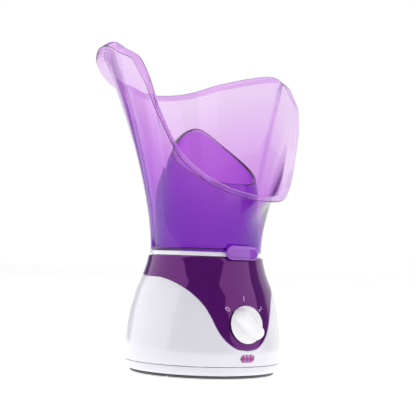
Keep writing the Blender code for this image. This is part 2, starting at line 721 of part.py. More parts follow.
# ------------------------------------------------------------------ steam cowl
def make_cowl():
    """An open tube, its mouth sweeping up towards the back, with a rolled lip."""
    sides = 32
    rows = 7
    look = material("cowl_clear", CLEAR_PURPLE, 0.08, alpha=0.5)
    shoulder = COLLAR_TOP_Z + 0.9 * MM
    foot = [(COWL_FOOT_R, COWL_FOOT_Z), (COWL_FOOT_R, shoulder), (COWL_R, shoulder + 1.6 * MM)]
    points = []
    for i in range(sides):
        angle = 2 * math.pi * i / sides
        back = (1 - math.cos(angle)) / 2
        top = COWL_FRONT_Z + (COWL_BACK_Z - COWL_FRONT_Z) * back ** COWL_SWEEP
        column = list(foot)
        for row in range(1, rows + 1):
            rise = row / rows
            height = foot[-1][1] + (top - foot[-1][1]) * rise
            lean = max(0.0, height - COWL_DOME_Z) ** 2 / (2 * COWL_DOME_R)
            radius = COWL_R - lean
            column.append((radius, height))
        lip_r, lip_z = column[-1]
        column.append((lip_r - COWL_LIP, lip_z + 0.6 * MM))
        for radius, height in column:
            points.append((radius * math.sin(angle), -radius * math.cos(angle), height))
    depth = len(points) // sides
    faces = []
    for i in range(sides):
        j = (i + 1) % sides
        for k in range(depth - 1):
            faces.append((i * depth + k, j * depth + k, j * depth + k + 1, i * depth + k + 1))
    cowl = add_object("steam_cowl", mesh_from("steam_cowl", points, faces), look)
    solid = cowl.modifiers.new("wall", "SOLIDIFY")
    solid.thickness = COWL_WALL
    solid.offset = -1.0
    solid.use_even_offset = True
    return smooth(cowl)


# ------------------------------------------------------------------- face mask
def rim_points(steps):
    """The rim's fold all round, from the front middle towards +X."""
    mirrored = [(-RIM[1][0], RIM[1][1], RIM[1][2]), *RIM, (-RIM[-2][0], RIM[-2][1], RIM[-2][2])]
    path = smooth_path(mirrored, steps)[steps:-steps]
    other = [point * np.array((-1, 1, 1)) for point in path[-2:0:-1]]
    rim = path + other
    low = RIM[0][2]
    high = max(point[2] for point in RIM)
    for point in rim:
        point[2] -= WING_SKEW * point[0] / WING_X * (point[2] - low) / (high - low)
    return rim


def mask_columns(steps, rows):
    """Columns of points up the mask's wall and out over its lip."""
    rim = rim_points(steps)
    columns = []
    for i, fold in enumerate(rim):
        ahead = rim[(i + 1) % len(rim)]
        behind = rim[i - 1]
        run = ahead - behind
        outward = np.array((-run[1], run[0], 0.0)) * -1
        outward /= np.linalg.norm(outward)
        angle = math.atan2(fold[0], -fold[1])
        back = (1 - math.cos(angle)) / 2
        foot = np.array((MASK_FOOT_R * math.sin(angle), -MASK_FOOT_R * math.cos(angle),
                         MASK_FOOT_Z))
        waist = foot.copy()
        waist[2] += WAIST_RISE + WAIST_SHARE * (fold[2] - RIM[0][2])
        column = [foot]
        for row in range(1, rows + 1):
            t = row / rows
            column.append((1 - t) ** 2 * foot + 2 * t * (1 - t) * waist + t * t * fold)
        width = LIP_WIDTH_FRONT + (LIP_WIDTH_BACK - LIP_WIDTH_FRONT) * back
        drop = LIP_DROP_FRONT + (LIP_DROP_BACK - LIP_DROP_FRONT) * back
        column.append(fold + outward * width * 0.45 + np.array((0, 0, 0.6 * MM)))
        column.append(fold + outward * width - np.array((0, 0, drop)))
        columns.append(column)
    return columns


def make_tab():
    """The clip tab on the mask's front: it hangs over the collar and the cover's top."""
    middle = MASK_FOOT_Z - 0.4 * MM
    top = middle + TAB_HEIGHT / 2
    bottom = middle - TAB_HEIGHT / 2
    wall_middle_r = MASK_FOOT_R - MASK_WALL / 2
    web_low = MASK_FOOT_Z + 0.2 * MM
    web_top = web_low + TAB_WEB
    tab = turned("mask_tab", [
        (TAB_OUTER_R, top), (TAB_OUTER_R, bottom), (TAB_INNER_R, bottom),
        (TAB_INNER_R, web_low), (wall_middle_r, web_low),
        (wall_middle_r, web_top), (TAB_INNER_R, web_top), (TAB_INNER_R, top),
    ], steps=60)
    prism = obround("tab_outline", TAB_LENGTH, TAB_HEIGHT - 0.2 * MM, 24 * MM)
    prism.location = (0.0, -TAB_OUTER_R, middle)
    prism.rotation_euler.x = math.radians(90)
    boolean(tab, prism, "INTERSECT")
    return tab


def make_mask():
    columns = mask_columns(2, 8)
    depth = len(columns[0])
    around = len(columns)
    points = [point for column in columns for point in column]
    faces = []
    for i in range(around):
        j = (i + 1) % around
        for k in range(depth - 1):
            faces.append((i * depth + k, j * depth + k, j * depth + k + 1, i * depth + k + 1))
    look = material("mask_clear", CLEAR_PURPLE, 0.08, alpha=0.5)
    mask = add_object("face_mask", mesh_from("face_mask", points, faces), look)
    solid = mask.modifiers.new("wall", "SOLIDIFY")
    solid.thickness = MASK_WALL
    solid.offset = -1.0
    solid.use_even_offset = False
    tab = make_tab()
    boolean(mask, tab, "UNION")
    return smooth(mask)


def build():
    axis = knob_empty()
    make_housing()
    make_cover(axis)
    make_base_ring()
    make_base_plate()
    make_feet()
    make_base_screws()
    make_collar()
    make_bowl()
    make_seal()
    make_heater()
    make_bracket()
    make_wiring()
    make_gland()
    make_knob(axis)
    make_switch(axis)
    make_indicator()
    make_cowl()
    make_mask()


build()
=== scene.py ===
"""Looks of the facial steamer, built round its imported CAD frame.

The visible mouldings are fine surfaces over their CAD nodes: the white and purple
body shells with rounded seams, the clear steam cowl and face mask, the knob, the
dial marks, the lens and the bowl.  Lengths are in metres, +Z is up and the user
stands towards -Y.
"""

import json
import math

import bmesh
import bpy
import numpy as np
from mathutils import Matrix, Vector


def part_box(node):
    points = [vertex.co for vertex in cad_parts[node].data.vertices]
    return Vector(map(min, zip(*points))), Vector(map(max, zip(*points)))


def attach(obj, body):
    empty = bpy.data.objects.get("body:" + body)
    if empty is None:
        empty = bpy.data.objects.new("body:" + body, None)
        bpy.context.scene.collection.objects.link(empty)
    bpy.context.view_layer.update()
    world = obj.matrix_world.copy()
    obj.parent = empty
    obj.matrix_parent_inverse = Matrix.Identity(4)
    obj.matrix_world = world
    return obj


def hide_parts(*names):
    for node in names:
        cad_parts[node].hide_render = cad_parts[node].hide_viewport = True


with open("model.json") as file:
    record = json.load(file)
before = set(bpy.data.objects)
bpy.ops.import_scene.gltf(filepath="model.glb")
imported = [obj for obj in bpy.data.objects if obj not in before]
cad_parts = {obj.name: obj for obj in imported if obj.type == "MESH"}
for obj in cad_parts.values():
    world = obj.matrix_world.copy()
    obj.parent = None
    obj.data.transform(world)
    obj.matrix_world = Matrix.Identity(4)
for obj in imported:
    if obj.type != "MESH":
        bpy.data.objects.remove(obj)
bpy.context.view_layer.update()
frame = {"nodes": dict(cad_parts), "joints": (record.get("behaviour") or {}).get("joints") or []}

MM = 0.001
GAP = 0.3 * MM              # clearance between parts that sit side by side
COVER_GAP = 0.1 * MM        # between the purple cover and the white housing
TINY = 1e-6                 # closer points than this are one point
SHARP = math.radians(40.0)  # edges that bend more than this stay sharp
MOST_CUT = 0.45             # share of a side that one rounded corner may take up
CLEAR_ROUND = 0.45          # edge radius of the clear walls, as a share of their thickness
JOINTS = {joint["name"]: joint for joint in frame["joints"]}

# ---------------------------------------------------------------- dimensions
# Outer skin of the base body: (height, radius), in millimetres.
BODY_SKIN = [
    (11.8, 73.4), (22.0, 74.8), (33.4, 73.6), (48.6, 71.2), (60.0, 69.1),
    (67.6, 66.9), (78.1, 64.0), (90.4, 58.9), (101.8, 55.4), (108.6, 54.2),
]
# Lower edge of the purple cover: (degrees from the front, height in millimetres).
COVER_EDGE = [
    (0, 26.3), (8, 27.8), (14, 32.2), (19, 38.2), (23, 45.6), (27, 55.0),
    (33, 65.8), (43, 76.0), (55, 83.2), (70, 88.0), (90, 89.5), (180, 89.5),
]
BODY_WALL = 2.4 * MM
BODY_MOUTH_R = 47.4 * MM    # opening in the top deck of the purple cover
SEAM_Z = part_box("lower_housing")[0].z
BODY_TOP_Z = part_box("upper_cover")[1].z
EDGE_ROUND = 0.45 * MM      # radius of the shells' moulded edges
HOUSING_TOP_ROUND = 0.9 * MM
COVER_LOW_ROUND = 0.7 * MM
SHAFT_HOLE_R = 5.3 * MM
RING_FLOOR_R = 59.5 * MM    # inner edge of the ring's floor
INLET_R = 5.0 * MM
INLET_BORE_R = 3.3 * MM
INLET_FLANGE_R = 7.4 * MM
INLET_FLANGE = 1.8 * MM     # how far the flange stands out of the housing
INLET_DEPTH = 7.0 * MM
COLLAR_TOP_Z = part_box("outlet_collar")[1].z
COLLAR_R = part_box("outlet_collar")[1].x
COLLAR_BORE_R = 47.2 * MM
COLLAR_LEDGE_R = 41.6 * MM  # inner edge of the ledge that carries the bowl
COLLAR_SEAT_R = 44.6 * MM   # recess that centres the bowl's flange
COLLAR_SEAT_TOP_Z = 104.6 * MM
COWL_SOCKET_R = 47.0 * MM
COWL_SOCKET_DEPTH = 6.6 * MM
BOWL_LOW_Z, BOWL_FLANGE_Z = (corner.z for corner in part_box("water_bowl"))
BOWL_R = 40.0 * MM
BOWL_WALL = 1.5 * MM
BOWL_FLANGE_R = 44.2 * MM
BOWL_FLANGE = 1.6 * MM

# Fold of the mask's rim in millimetres, from the front middle round to the back.
RIM = [
    (0, -90.5, 161.5), (14, -85.5, 163.5), (28, -73.5, 169.5), (44, -58, 181.5),
    (60, -42, 202), (73, -30, 234.5), (79, -20, 263), (82, -5.5, 281.3), (88, 10, 289.7),
    (90, 27, 297.4), (85.5, 53, 299.0), (68, 89, 293.2), (39, 112, 280.2), (0, 118.5, 274.2),
]
RIM = [tuple(value * MM for value in point) for point in RIM]
WING_SKEW = 5.5 * MM        # one wing stands this much higher, the other lower
WING_X = 90 * MM            # how far the wings reach to each side
MASK_FOOT_R = 52.4 * MM
MASK_FOOT_Z = 113.2 * MM
MASK_WALL = 2.2 * MM
MASK_RIM_WALL = 0.7 * MM    # the wall thins towards the rim
WAIST_RISE = 27.0 * MM      # height over which the wall leaves its foot upright
WAIST_SHARE = 0.18          # part of the rim's own rise that is added to it
LIP_WIDTH = (8.0 * MM, 8.6 * MM)    # at the front and at the back
LIP_DROP = (3.9 * MM, 2.8 * MM)

COWL_FOOT_R = 46.6 * MM
COWL_R = 49.4 * MM
COWL_WALL = 2.0 * MM
COWL_FRONT_Z = 174.7 * MM
COWL_BACK_Z = 231.0 * MM
COWL_SWEEP = 1.17           # power of the mouth's rise from the front to the back
COWL_DOME_Z = 150.0 * MM    # height where the wall starts to lean in
COWL_DOME_R = 135.0 * MM    # radius of the wall's lean above it
COWL_LIP = 3.0 * MM

TAB_LENGTH = 38.0 * MM
TAB_HEIGHT = 13.0 * MM
TAB_INNER_R = 55.2 * MM
TAB_OUTER_R = 58.0 * MM
TAB_TURN = math.radians(5.0)    # towards +X, round the collar
TAB_BORDER = 0.8 * MM       # how far the tab's border stands over its face
WEB_HEIGHT = 4.4 * MM       # of the web that joins the tab to the wall

KNOB_R = 17.3 * MM
KNOB_DISC = 3.0 * MM        # how far the disc stands out of the cover
KNOB_HEIGHT = 13.2 * MM
KNOB_REST = math.radians(44.0)  # turn of the grip to the left of upright
SOCKET_R = 3.3 * MM
SOCKET_DEPTH = 9.8 * MM
GRIP_WIDTH = 13.4 * MM
GRIP_FALL = 2.6 * MM        # how far the grip's ends drop below its middle
MARK_HEIGHT = 5.0 * MM
MARK_THICKNESS = 0.06 * MM
CAPITAL = 0.72              # height of a numeral as a share of the text's size
# Each mark with its place round the knob: degrees left of upright and radius.
MARKS = [("0", 51.5, 21.8 * MM), ("1", 0.0, 23.0 * MM), ("2", -53.0, 22.8 * MM)]

LENS_Z = 19.3 * MM
LENS_LENGTH = 14.4 * MM
LENS_HEIGHT = 6.4 * MM
PAINTED_GLINT_SPACING = 3.8 * MM    # between the painted highlights that glow in the lens

# The camera stands to the left of the object's front, level with the collar, and looks
# slightly up.
CAMERA_AZIMUTH = math.radians(32.8)
CAMERA_DISTANCE = 1.0
CAMERA_HEIGHT = 107.3 * MM
CAMERA_PITCH = math.radians(2.71)
CAMERA_ROLL = math.radians(2.0)
CAMERA_LENS = 91.1          # millimetres, on a 36 mm sensor
CAMERA_SHIFT = 0.0019

LIGHTS_AIM = Vector((0, 0, 0.12))
BACKDROP_AZIMUTH = 162      # middle of the world's bright side, degrees from the camera
BACKDROP_EDGE = (0.70, 0.78)    # cosines from that middle where the bright side ends
DARK_SIDE = 0.2             # brightness of the rest of the world in reflections
SEEN_THROUGH = 0.76         # brightness of the backdrop through clear plastic
FLOOR_RADIUS = 8.0

WAVE_RATE = 20.0            # radians that a wave texture of scale 1 turns in a metre
TONE_DRIFT = 18.0           # scale of the drift between a plastic's two tones


# ------------------------------------------------------------------- geometry
def smooth_path(points, steps):
    """Points along a Catmull-Rom curve through the given ones."""
    points = [np.array(point, float) for point in points]
    chain = [2 * points[0] - points[1], *points, 2 * points[-1] - points[-2]]
    path = []
    for i in range(1, len(chain) - 2):
        a, b, c, d = chain[i - 1:i + 3]
        for step in range(steps):
            t = step / steps
            path.append(0.5 * (2 * b + (c - a) * t + (2 * a - 5 * b + 4 * c - d) * t * t
                               + (3 * b - a - 3 * c + d) * t ** 3))
    path.append(points[-1])
    return path


SKIN_PATH = np.array(smooth_path(BODY_SKIN, 12)) * MM
EDGE_PATH = np.array(smooth_path(COVER_EDGE, 12)) * (math.radians(1), MM)


def skin_radius(height):
    return float(np.interp(height, SKIN_PATH[:, 0], SKIN_PATH[:, 1]))


def cover_edge(angle):
    """Height of the purple cover's lower edge at an angle from the front."""
    angle = abs((angle + math.pi) % (2 * math.pi) - math.pi)
    return float(np.interp(angle, EDGE_PATH[:, 0], EDGE_PATH[:, 1]))


def around(radius, angle, height):
    """A point at an angle from the front, counted towards +X."""
    return np.array((radius * math.sin(angle), -radius * math.cos(angle), height))


def fillet(outline, radius, steps=4):
    """The outline with its corners off the axis rounded."""
    rounded = []
    for i, corner in enumerate(outline):
        corner = np.array(corner, float)
        before = np.array(outline[i - 1], float) - corner
        after = np.array(outline[(i + 1) % len(outline)], float) - corner
        cut = min(radius, MOST_CUT * np.linalg.norm(before), MOST_CUT * np.linalg.norm(after))
        if corner[0] < TINY or cut < TINY:
            rounded.append(tuple(corner))
            continue
        start = before / np.linalg.norm(before) * cut
        end = after / np.linalg.norm(after) * cut
        for step in range(steps + 1):
            t = step / steps
            rounded.append(tuple(corner + (1 - t) ** 2 * start + t * t * end))
    return rounded


def finished(name, shape):
    """The mesh of a bmesh, welded, facing out and shaded smooth."""
    bmesh.ops.remove_doubles(shape, verts=shape.verts, dist=TINY)
    bmesh.ops.recalc_face_normals(shape, faces=shape.faces)
    mesh = bpy.data.meshes.new(name)
    shape.to_mesh(mesh)
    shape.free()
    mesh.shade_smooth()
    mesh.set_sharp_from_angle(angle=SHARP)
    return mesh


def turned(name, outline, steps=128):
    """A (radius, height) outline turned about Z: closed, or with its ends on the axis."""
    shape = bmesh.new()
    points = [shape.verts.new((radius, 0.0, height)) for radius, height in outline]
    edges = [shape.edges.new(pair) for pair in zip(points, points[1:])]
    if min(outline[0][0], outline[-1][0]) > TINY:
        edges.append(shape.edges.new((points[-1], points[0])))
    bmesh.ops.spin(shape, geom=points + edges, cent=(0, 0, 0), axis=(0, 0, 1),
                   angle=2 * math.pi, steps=steps)
    return finished(name, shape)


def loops_mesh(name, loops):
    """A closed skin over closed loops of points that follow each other in a circle."""
    count = len(loops[0])
    shape = bmesh.new()
    rings = [[shape.verts.new(point) for point in loop] for loop in loops]
    for i, ring in enumerate(rings):
        ahead = rings[(i + 1) % len(rings)]
        for k in range(count):
            j = (k + 1) % count
            shape.faces.new((ring[k], ahead[k], ahead[j], ring[j]))
    return finished(name, shape)


def unit(vectors):
    return vectors / np.linalg.norm(vectors, axis=-1, keepdims=True)


def shell(name, columns, wall, corners, steps=4):
    """A wall inside a round grid of points, with both its edges rounded.

    columns holds a column of points for each angle, running from one edge to the
    other.  wall is its thickness, or a thickness for each row, and corners are the
    radii of the near and the far edge.
    """
    outer = np.array(columns)
    run = np.roll(outer, -1, 0) - np.roll(outer, 1, 0)
    out = unit(np.cross(run, np.gradient(outer, axis=1)))
    walls = np.broadcast_to(wall, outer.shape[1])
    inner = outer - out * walls[None, :, None]

    def cap(row, corner, ahead):
        edge = outer[:, row]
        normal = out[:, row]
        along = unit(np.cross(normal, run[:, row])) * ahead
        points = []
        for centre, first in ((corner, 0), (walls[row] - corner, 90)):
            for step in range(steps + 1):
                turn = math.radians(first + 90 * step / steps)
                points.append(edge - along * corner - normal * centre
                              + corner * (math.cos(turn) * normal + math.sin(turn) * along))
        return points

    if np.mean(np.sum(np.cross(out[:, 1], run[:, 1]) * (outer[:, 2] - outer[:, 1]), -1)) < 0:
        sign = -1
    else:
        sign = 1
    far = cap(-1, corners[1], sign)
    near = cap(0, corners[0], -sign)[::-1]
    middle = range(1, outer.shape[1] - 1)
    loop = [*(outer[:, k] for k in middle), *far, *(inner[:, k] for k in reversed(middle)), *near]
    return loops_mesh(name, np.stack(loop, axis=1).tolist())


def relief(name, reach, half_width, profile):
    """Nested obrounds in the XY plane: (inset, depth) pairs, closed flat underneath."""
    ends = 16
    shape = bmesh.new()
    rings = []
    for inset, depth in profile:
        radius = max(half_width - inset, 0.0)
        ring = []
        for side, start in ((1, -90.0), (-1, 90.0)):
            for step in range(ends + 1):
                angle = math.radians(start + 180.0 * step / ends)
                ring.append(shape.verts.new((side * reach + radius * math.cos(angle),
                                             radius * math.sin(angle), depth)))
        rings.append(ring)
    count = len(rings[0])
    for low, high in zip(rings, rings[1:]):
        for k in range(count):
            j = (k + 1) % count
            shape.faces.new((low[k], low[j], high[j], high[k]))
    shape.faces.new(rings[0][::-1])
    return finished(name, shape)


def placed(mesh, matrix):
    mesh.transform(matrix)
    return mesh


def combined(mesh, cutters, operation="DIFFERENCE"):
    """The mesh after a Boolean with each of the cutter meshes."""
    name = mesh.name
    body = bpy.data.objects.new("work_" + name, mesh)
    bpy.context.scene.collection.objects.link(body)
    tools = []
    for cutter in cutters:
        tool = bpy.data.objects.new("tool_" + cutter.name, cutter)
        bpy.context.scene.collection.objects.link(tool)
        tools.append(tool)
        modifier = body.modifiers.new("cut", "BOOLEAN")
        modifier.operation = operation
        modifier.solver = "EXACT"
        modifier.object = tool
    return evaluated(body, name, tools)


def evaluated(body, name, tools=()):
    """The mesh that an object's modifiers make; the object and its tools are removed."""
    bpy.context.view_layer.update()
    graph = bpy.context.evaluated_depsgraph_get()
    mesh = bpy.data.meshes.new_from_object(body.evaluated_get(graph))
    for used in (body, *tools):
        bpy.data.objects.remove(used, do_unlink=True)
    mesh.name = name
    mesh.shade_smooth()
    mesh.set_sharp_from_angle(angle=SHARP)
    return mesh


def rod(name, radius, low, high):
    """A plain round cutter along Z."""
    return turned(name, [(0, high), (radius, high), (radius, low), (0, low)], 48)


# ------------------------------------------------------------------- materials
class Shader:
    """A node material with a Principled shader and short ways to add to it."""

    def __init__(self, name, colour, roughness, metallic=0.0):
        self.material = bpy.data.materials.new(name)
        self.material.use_nodes = True
        self.nodes = self.material.node_tree.nodes
        self.links = self.material.node_tree.links
        self.surface = self.nodes["Principled BSDF"]
        self.place = self.nodes.new("ShaderNodeTexCoord").outputs["Object"]
        self.set("Base Color", (*colour, 1.0))
        self.set("Roughness", roughness)
        self.set("Metallic", metallic)

    def set(self, socket, value):
        """Sets a socket of the Principled shader."""
        self.surface.inputs[socket].default_value = value
        return self

    def node(self, kind, **values):
        """A new node with the given values in its sockets."""
        made = self.nodes.new(kind)
        for key, value in values.items():
            made.inputs[key.replace("_", " ")].default_value = value
        return made

    def noise(self, scale, detail=3.0):
        """Soft noise of about one over scale metres across."""
        made = self.node("ShaderNodeTexNoise", Scale=scale, Detail=detail)
        self.links.new(self.place, made.inputs["Vector"])
        return made.outputs["Fac"]

    def ranged(self, value, low, high):
        """A value of 0 to 1 spread from low to high."""
        made = self.nodes.new("ShaderNodeMapRange")
        made.inputs["To Min"].default_value = low
        made.inputs["To Max"].default_value = high
        self.links.new(value, made.inputs["Value"])
        return made.outputs["Result"]

    def uneven_gloss(self, low, high, scale=25.0):
        """Roughness that wanders between two values."""
        self.links.new(self.ranged(self.noise(scale), low, high), self.surface.inputs["Roughness"])
        return self

    def tinted(self, colour, other):
        """Colour that drifts between two close tones."""
        mix = self.nodes.new("ShaderNodeMix")
        mix.data_type = "RGBA"
        mix.inputs["A"].default_value = (*colour, 1.0)
        mix.inputs["B"].default_value = (*other, 1.0)
        self.links.new(self.noise(TONE_DRIFT), mix.inputs["Factor"])
        self.links.new(mix.outputs["Result"], self.surface.inputs["Base Color"])
        return self

    def grain(self, scale, strength, distance=0.05 * MM):
        """Fine unevenness of the moulded or drawn surface."""
        bump = self.node("ShaderNodeBump", Strength=strength, Distance=distance)
        self.links.new(self.noise(scale, 2.0), bump.inputs["Height"])
        self.links.new(bump.outputs["Normal"], self.surface.inputs["Normal"])
        return self

    def for_rays(self, kind, other):
        """Shows another shader to one kind of ray."""
        path = self.nodes.new("ShaderNodeLightPath")
        mix = self.nodes.new("ShaderNodeMixShader")
        self.links.new(path.outputs[kind], mix.inputs["Fac"])
        self.links.new(self.surface.outputs["BSDF"], mix.inputs[1])
        self.links.new(other, mix.inputs[2])
        self.links.new(mix.outputs["Shader"], self.nodes["Material Output"].inputs["Surface"])

    def rings(self, spacing, strength):
        """Fine turning marks round the Z axis."""
        wave = self.nodes.new("ShaderNodeTexWave")
        wave.wave_type = "RINGS"
        wave.rings_direction = "Z"
        wave.inputs["Scale"].default_value = 1 / spacing / WAVE_RATE
        wave.inputs["Distortion"].default_value = 1.5
        self.links.new(self.place, wave.inputs["Vector"])
        bump = self.node("ShaderNodeBump", Strength=strength, Distance=0.02 * MM)
        self.links.new(wave.outputs["Fac"], bump.inputs["Height"])
        self.links.new(bump.outputs["Normal"], self.surface.inputs["Normal"])
        return self


def clear_plastic(name, tints, per_wall, wall, roughness):
    """Clear coloured plastic: a wall of that thickness lets per_wall of the light through.

    tints are the surface's own colour seen square on and at a glance.
    """
    made = Shader(name, tints[0], roughness)
    made.set("Transmission Weight", 1.0).set("IOR", 1.46)
    made.set("Specular Tint", (0.95, 0.6, 1.0, 1.0))
    made.uneven_gloss(roughness * 0.7, roughness * 1.5)
    made.grain(60.0, 0.06, 0.1 * MM)
    facing = made.node("ShaderNodeLayerWeight", Blend=0.5)
    ramp = made.nodes.new("ShaderNodeValToRGB")
    ramp.color_ramp.elements[0].position = 0.45
    ramp.color_ramp.elements[0].color = (*tints[0], 1.0)
    ramp.color_ramp.elements[1].position = 0.85
    ramp.color_ramp.elements[1].color = (*tints[1], 1.0)
    made.links.new(facing.outputs["Facing"], ramp.inputs["Fac"])
    made.links.new(ramp.outputs["Color"], made.surface.inputs["Base Color"])
    absorbed = [-math.log(share) / wall for share in per_wall]
    density = max(absorbed) * 1.05
    volume = made.node("ShaderNodeVolumeAbsorption", Density=density)
    volume.inputs["Color"].default_value = (*(1 - value / density for value in absorbed), 1.0)
    made.links.new(volume.outputs["Volume"], made.nodes["Material Output"].inputs["Volume"])
    through = made.nodes.new("ShaderNodeBsdfTransparent")
    through.inputs["Color"].default_value = (*(value ** 0.5 for value in tints[0]), 1.0)
    made.for_rays("Is Shadow Ray", through.outputs["BSDF"])
    return made.material


def white_plastic():
    made = Shader("white_plastic", (0.645, 0.635, 0.69), 0.16)
    made.tinted((0.635, 0.625, 0.685), (0.655, 0.645, 0.695)).uneven_gloss(0.1, 0.16)
    made.set("Specular IOR Level", 0.8)
    made.grain(900.0, 0.04)
    return made.material


def purple_plastic():
    made = Shader("purple_plastic", (0.055, 0.002, 0.095), 0.06)
    made.tinted((0.052, 0.002, 0.09), (0.058, 0.003, 0.1)).uneven_gloss(0.04, 0.08)
    made.set("Specular Tint", (1.0, 0.35, 1.0, 1.0)).set("Specular IOR Level", 0.9)
    made.grain(500.0, 0.02)
    return made.material


def knob_plastic():
    made = Shader("knob_plastic", (0.74, 0.74, 0.75), 0.35)
    made.tinted((0.73, 0.73, 0.74), (0.75, 0.75, 0.76)).uneven_gloss(0.3, 0.42)
    made.grain(1500.0, 0.06)
    return made.material


def plain(name, colour, roughness, metallic=0.0, grain=900.0, strength=0.1):
    """A small inner or lower piece: its colour drifts a little and its surface is uneven."""
    made = Shader(name, colour, roughness, metallic)
    made.tinted([value * 0.92 for value in colour], [min(value * 1.06, 1.0) for value in colour])
    made.uneven_gloss(roughness * 0.8, min(roughness * 1.25, 1.0)).grain(grain, strength)
    return made.material


def tab_plastic():
    """The tab's slightly milky version of the clear purple."""
    made = Shader("tab_plastic", (0.25, 0.045, 0.46), 0.12)
    made.set("Transmission Weight", 0.1).set("IOR", 1.46).set("Coat Weight", 0.6)
    made.uneven_gloss(0.1, 0.16, 60.0).grain(300.0, 0.05)
    return made.material


def lens_plastic_painted_glints():
    """Tinted lens with three painted highlights: patches of its surface glow pink like the lamp's
    glints.
    """
    made = Shader("lens_plastic_painted_glints", (0.4, 0.1, 0.36), 0.08)
    made.set("Transmission Weight", 0.3).set("IOR", 1.46)
    made.uneven_gloss(0.05, 0.12, 200.0).grain(300.0, 0.1, 0.1 * MM)
    # Painted highlights: two crossed waves mark three patches that stand in for glints.
    glint_waves = []
    for axis, period, phase in (("X", PAINTED_GLINT_SPACING, 1.6), ("Z", 1.9 * PAINTED_GLINT_SPACING, 2.4)):
        wave = made.nodes.new("ShaderNodeTexWave")
        wave.bands_direction = axis
        wave.inputs["Scale"].default_value = 2 * math.pi / (WAVE_RATE * period)
        wave.inputs["Phase Offset"].default_value = phase
        made.links.new(made.place, wave.inputs["Vector"])
        glint_waves.append(wave.outputs["Fac"])
    both = made.nodes.new("ShaderNodeMath")
    both.operation = "MULTIPLY"
    made.links.new(glint_waves[0], both.inputs[0])
    made.links.new(glint_waves[1], both.inputs[1])
    # The patches glow through the lens's emission: painted highlights, the lamp itself is not lit.
    made.links.new(made.ranged(both.outputs["Value"], -0.1, 0.8),
                   made.surface.inputs["Emission Strength"])
    made.set("Emission Color", (0.75, 0.42, 0.66, 1.0))
    return made.material


def bowl_aluminium():
    made = Shader("bowl_aluminium", (0.78, 0.78, 0.79), 0.28, 1.0)
    made.uneven_gloss(0.22, 0.36, 60.0).rings(0.4 * MM, 0.25)
    return made.material


# ---------------------------------------------------------------------- pieces
def piece(name, mesh, body, look, slot, *nodes):
    """A finished piece that rides on a body and stands for its CAD nodes."""
    made = bpy.data.objects.new(name, mesh)
    bpy.context.scene.collection.objects.link(made)
    if not mesh.materials:
        mesh.materials.append(look)
    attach(made, body)
    if nodes:
        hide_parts(*nodes)
    return made


def dress(look, *nodes):
    """Gives CAD nodes that stay a better material."""
    for node in nodes:
        data = frame["nodes"][node].data
        data.materials.clear()
        data.materials.append(look)


def body_angles():
    count = 288
    return [2 * math.pi * i / count for i in range(count)]


def make_housing(look):
    rows = 16
    columns = []
    for angle in body_angles():
        top = cover_edge(angle) - COVER_GAP / 2
        heights = np.linspace(SEAM_Z, top, rows)
        columns.append([around(skin_radius(height), angle, height) for height in heights])
    mesh = shell("housing", columns, BODY_WALL, (EDGE_ROUND, HOUSING_TOP_ROUND))
    facing = Matrix.Rotation(math.pi / 2, 4, "X")
    half = LENS_HEIGHT / 2 + GAP
    window = relief("window", (LENS_LENGTH - LENS_HEIGHT) / 2, half,
                    [(0, -8 * MM), (0, 8 * MM), (half, 8 * MM)])
    placed(window, Matrix.Translation((0, -skin_radius(LENS_Z), LENS_Z)) @ facing)
    low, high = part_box("cord_inlet")
    inlet_z = (low.z + high.z) / 2
    inlet = rod("inlet", INLET_R + GAP, -8 * MM, 8 * MM)
    placed(inlet, Matrix.Translation((0, skin_radius(inlet_z), inlet_z)) @ facing)
    mesh = combined(mesh, [window, inlet])
    return piece("housing_shell", mesh, "base", look, "white_plastic", "lower_housing")


def make_cover(look, knob_frame):
    rows = 20
    corner = 1.0 * MM
    deck_r = skin_radius(BODY_TOP_Z)
    columns = []
    for angle in body_angles():
        heights = np.linspace(cover_edge(angle) + COVER_GAP / 2, BODY_TOP_Z - corner, rows)
        column = [around(skin_radius(height), angle, height) for height in heights]
        for turn in (22.5, 45.0, 67.5, 90.0):
            turn = math.radians(turn)
            column.append(around(deck_r - corner * (1 - math.cos(turn)), angle,
                                 BODY_TOP_Z - corner * (1 - math.sin(turn))))
        for radius in np.linspace(deck_r - corner, BODY_MOUTH_R, 5)[1:]:
            column.append(around(radius, angle, BODY_TOP_Z))
        columns.append(column)
    mesh = shell("cover", columns, BODY_WALL, (COVER_LOW_ROUND, EDGE_ROUND))
    mesh = combined(mesh, [placed(rod("shaft_hole", SHAFT_HOLE_R, -9 * MM, 9 * MM), knob_frame)])
    return piece("cover_shell", mesh, "base", look, "purple_cover", "upper_cover")


def make_ring(look):
    top = SEAM_Z - GAP
    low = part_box("base_ring")[0].z
    outer = skin_radius(SEAM_Z)
    inner = outer - BODY_WALL
    outline = fillet([
        (outer, top), (outer - 0.4 * MM, low + 4 * MM), (outer - 1.4 * MM, low + 1.8 * MM),
        (70.6 * MM, low + 0.5 * MM), (68.8 * MM, low), (RING_FLOOR_R, low),
        (RING_FLOOR_R, low + 2 * MM), (inner - 1.6 * MM, low + 2.4 * MM),
        (inner, low + 5 * MM), (inner, top),
    ], EDGE_ROUND)
    return piece("ring_moulding", turned("ring", outline, 192), "base", look,
                 "white_plastic", "base_ring")


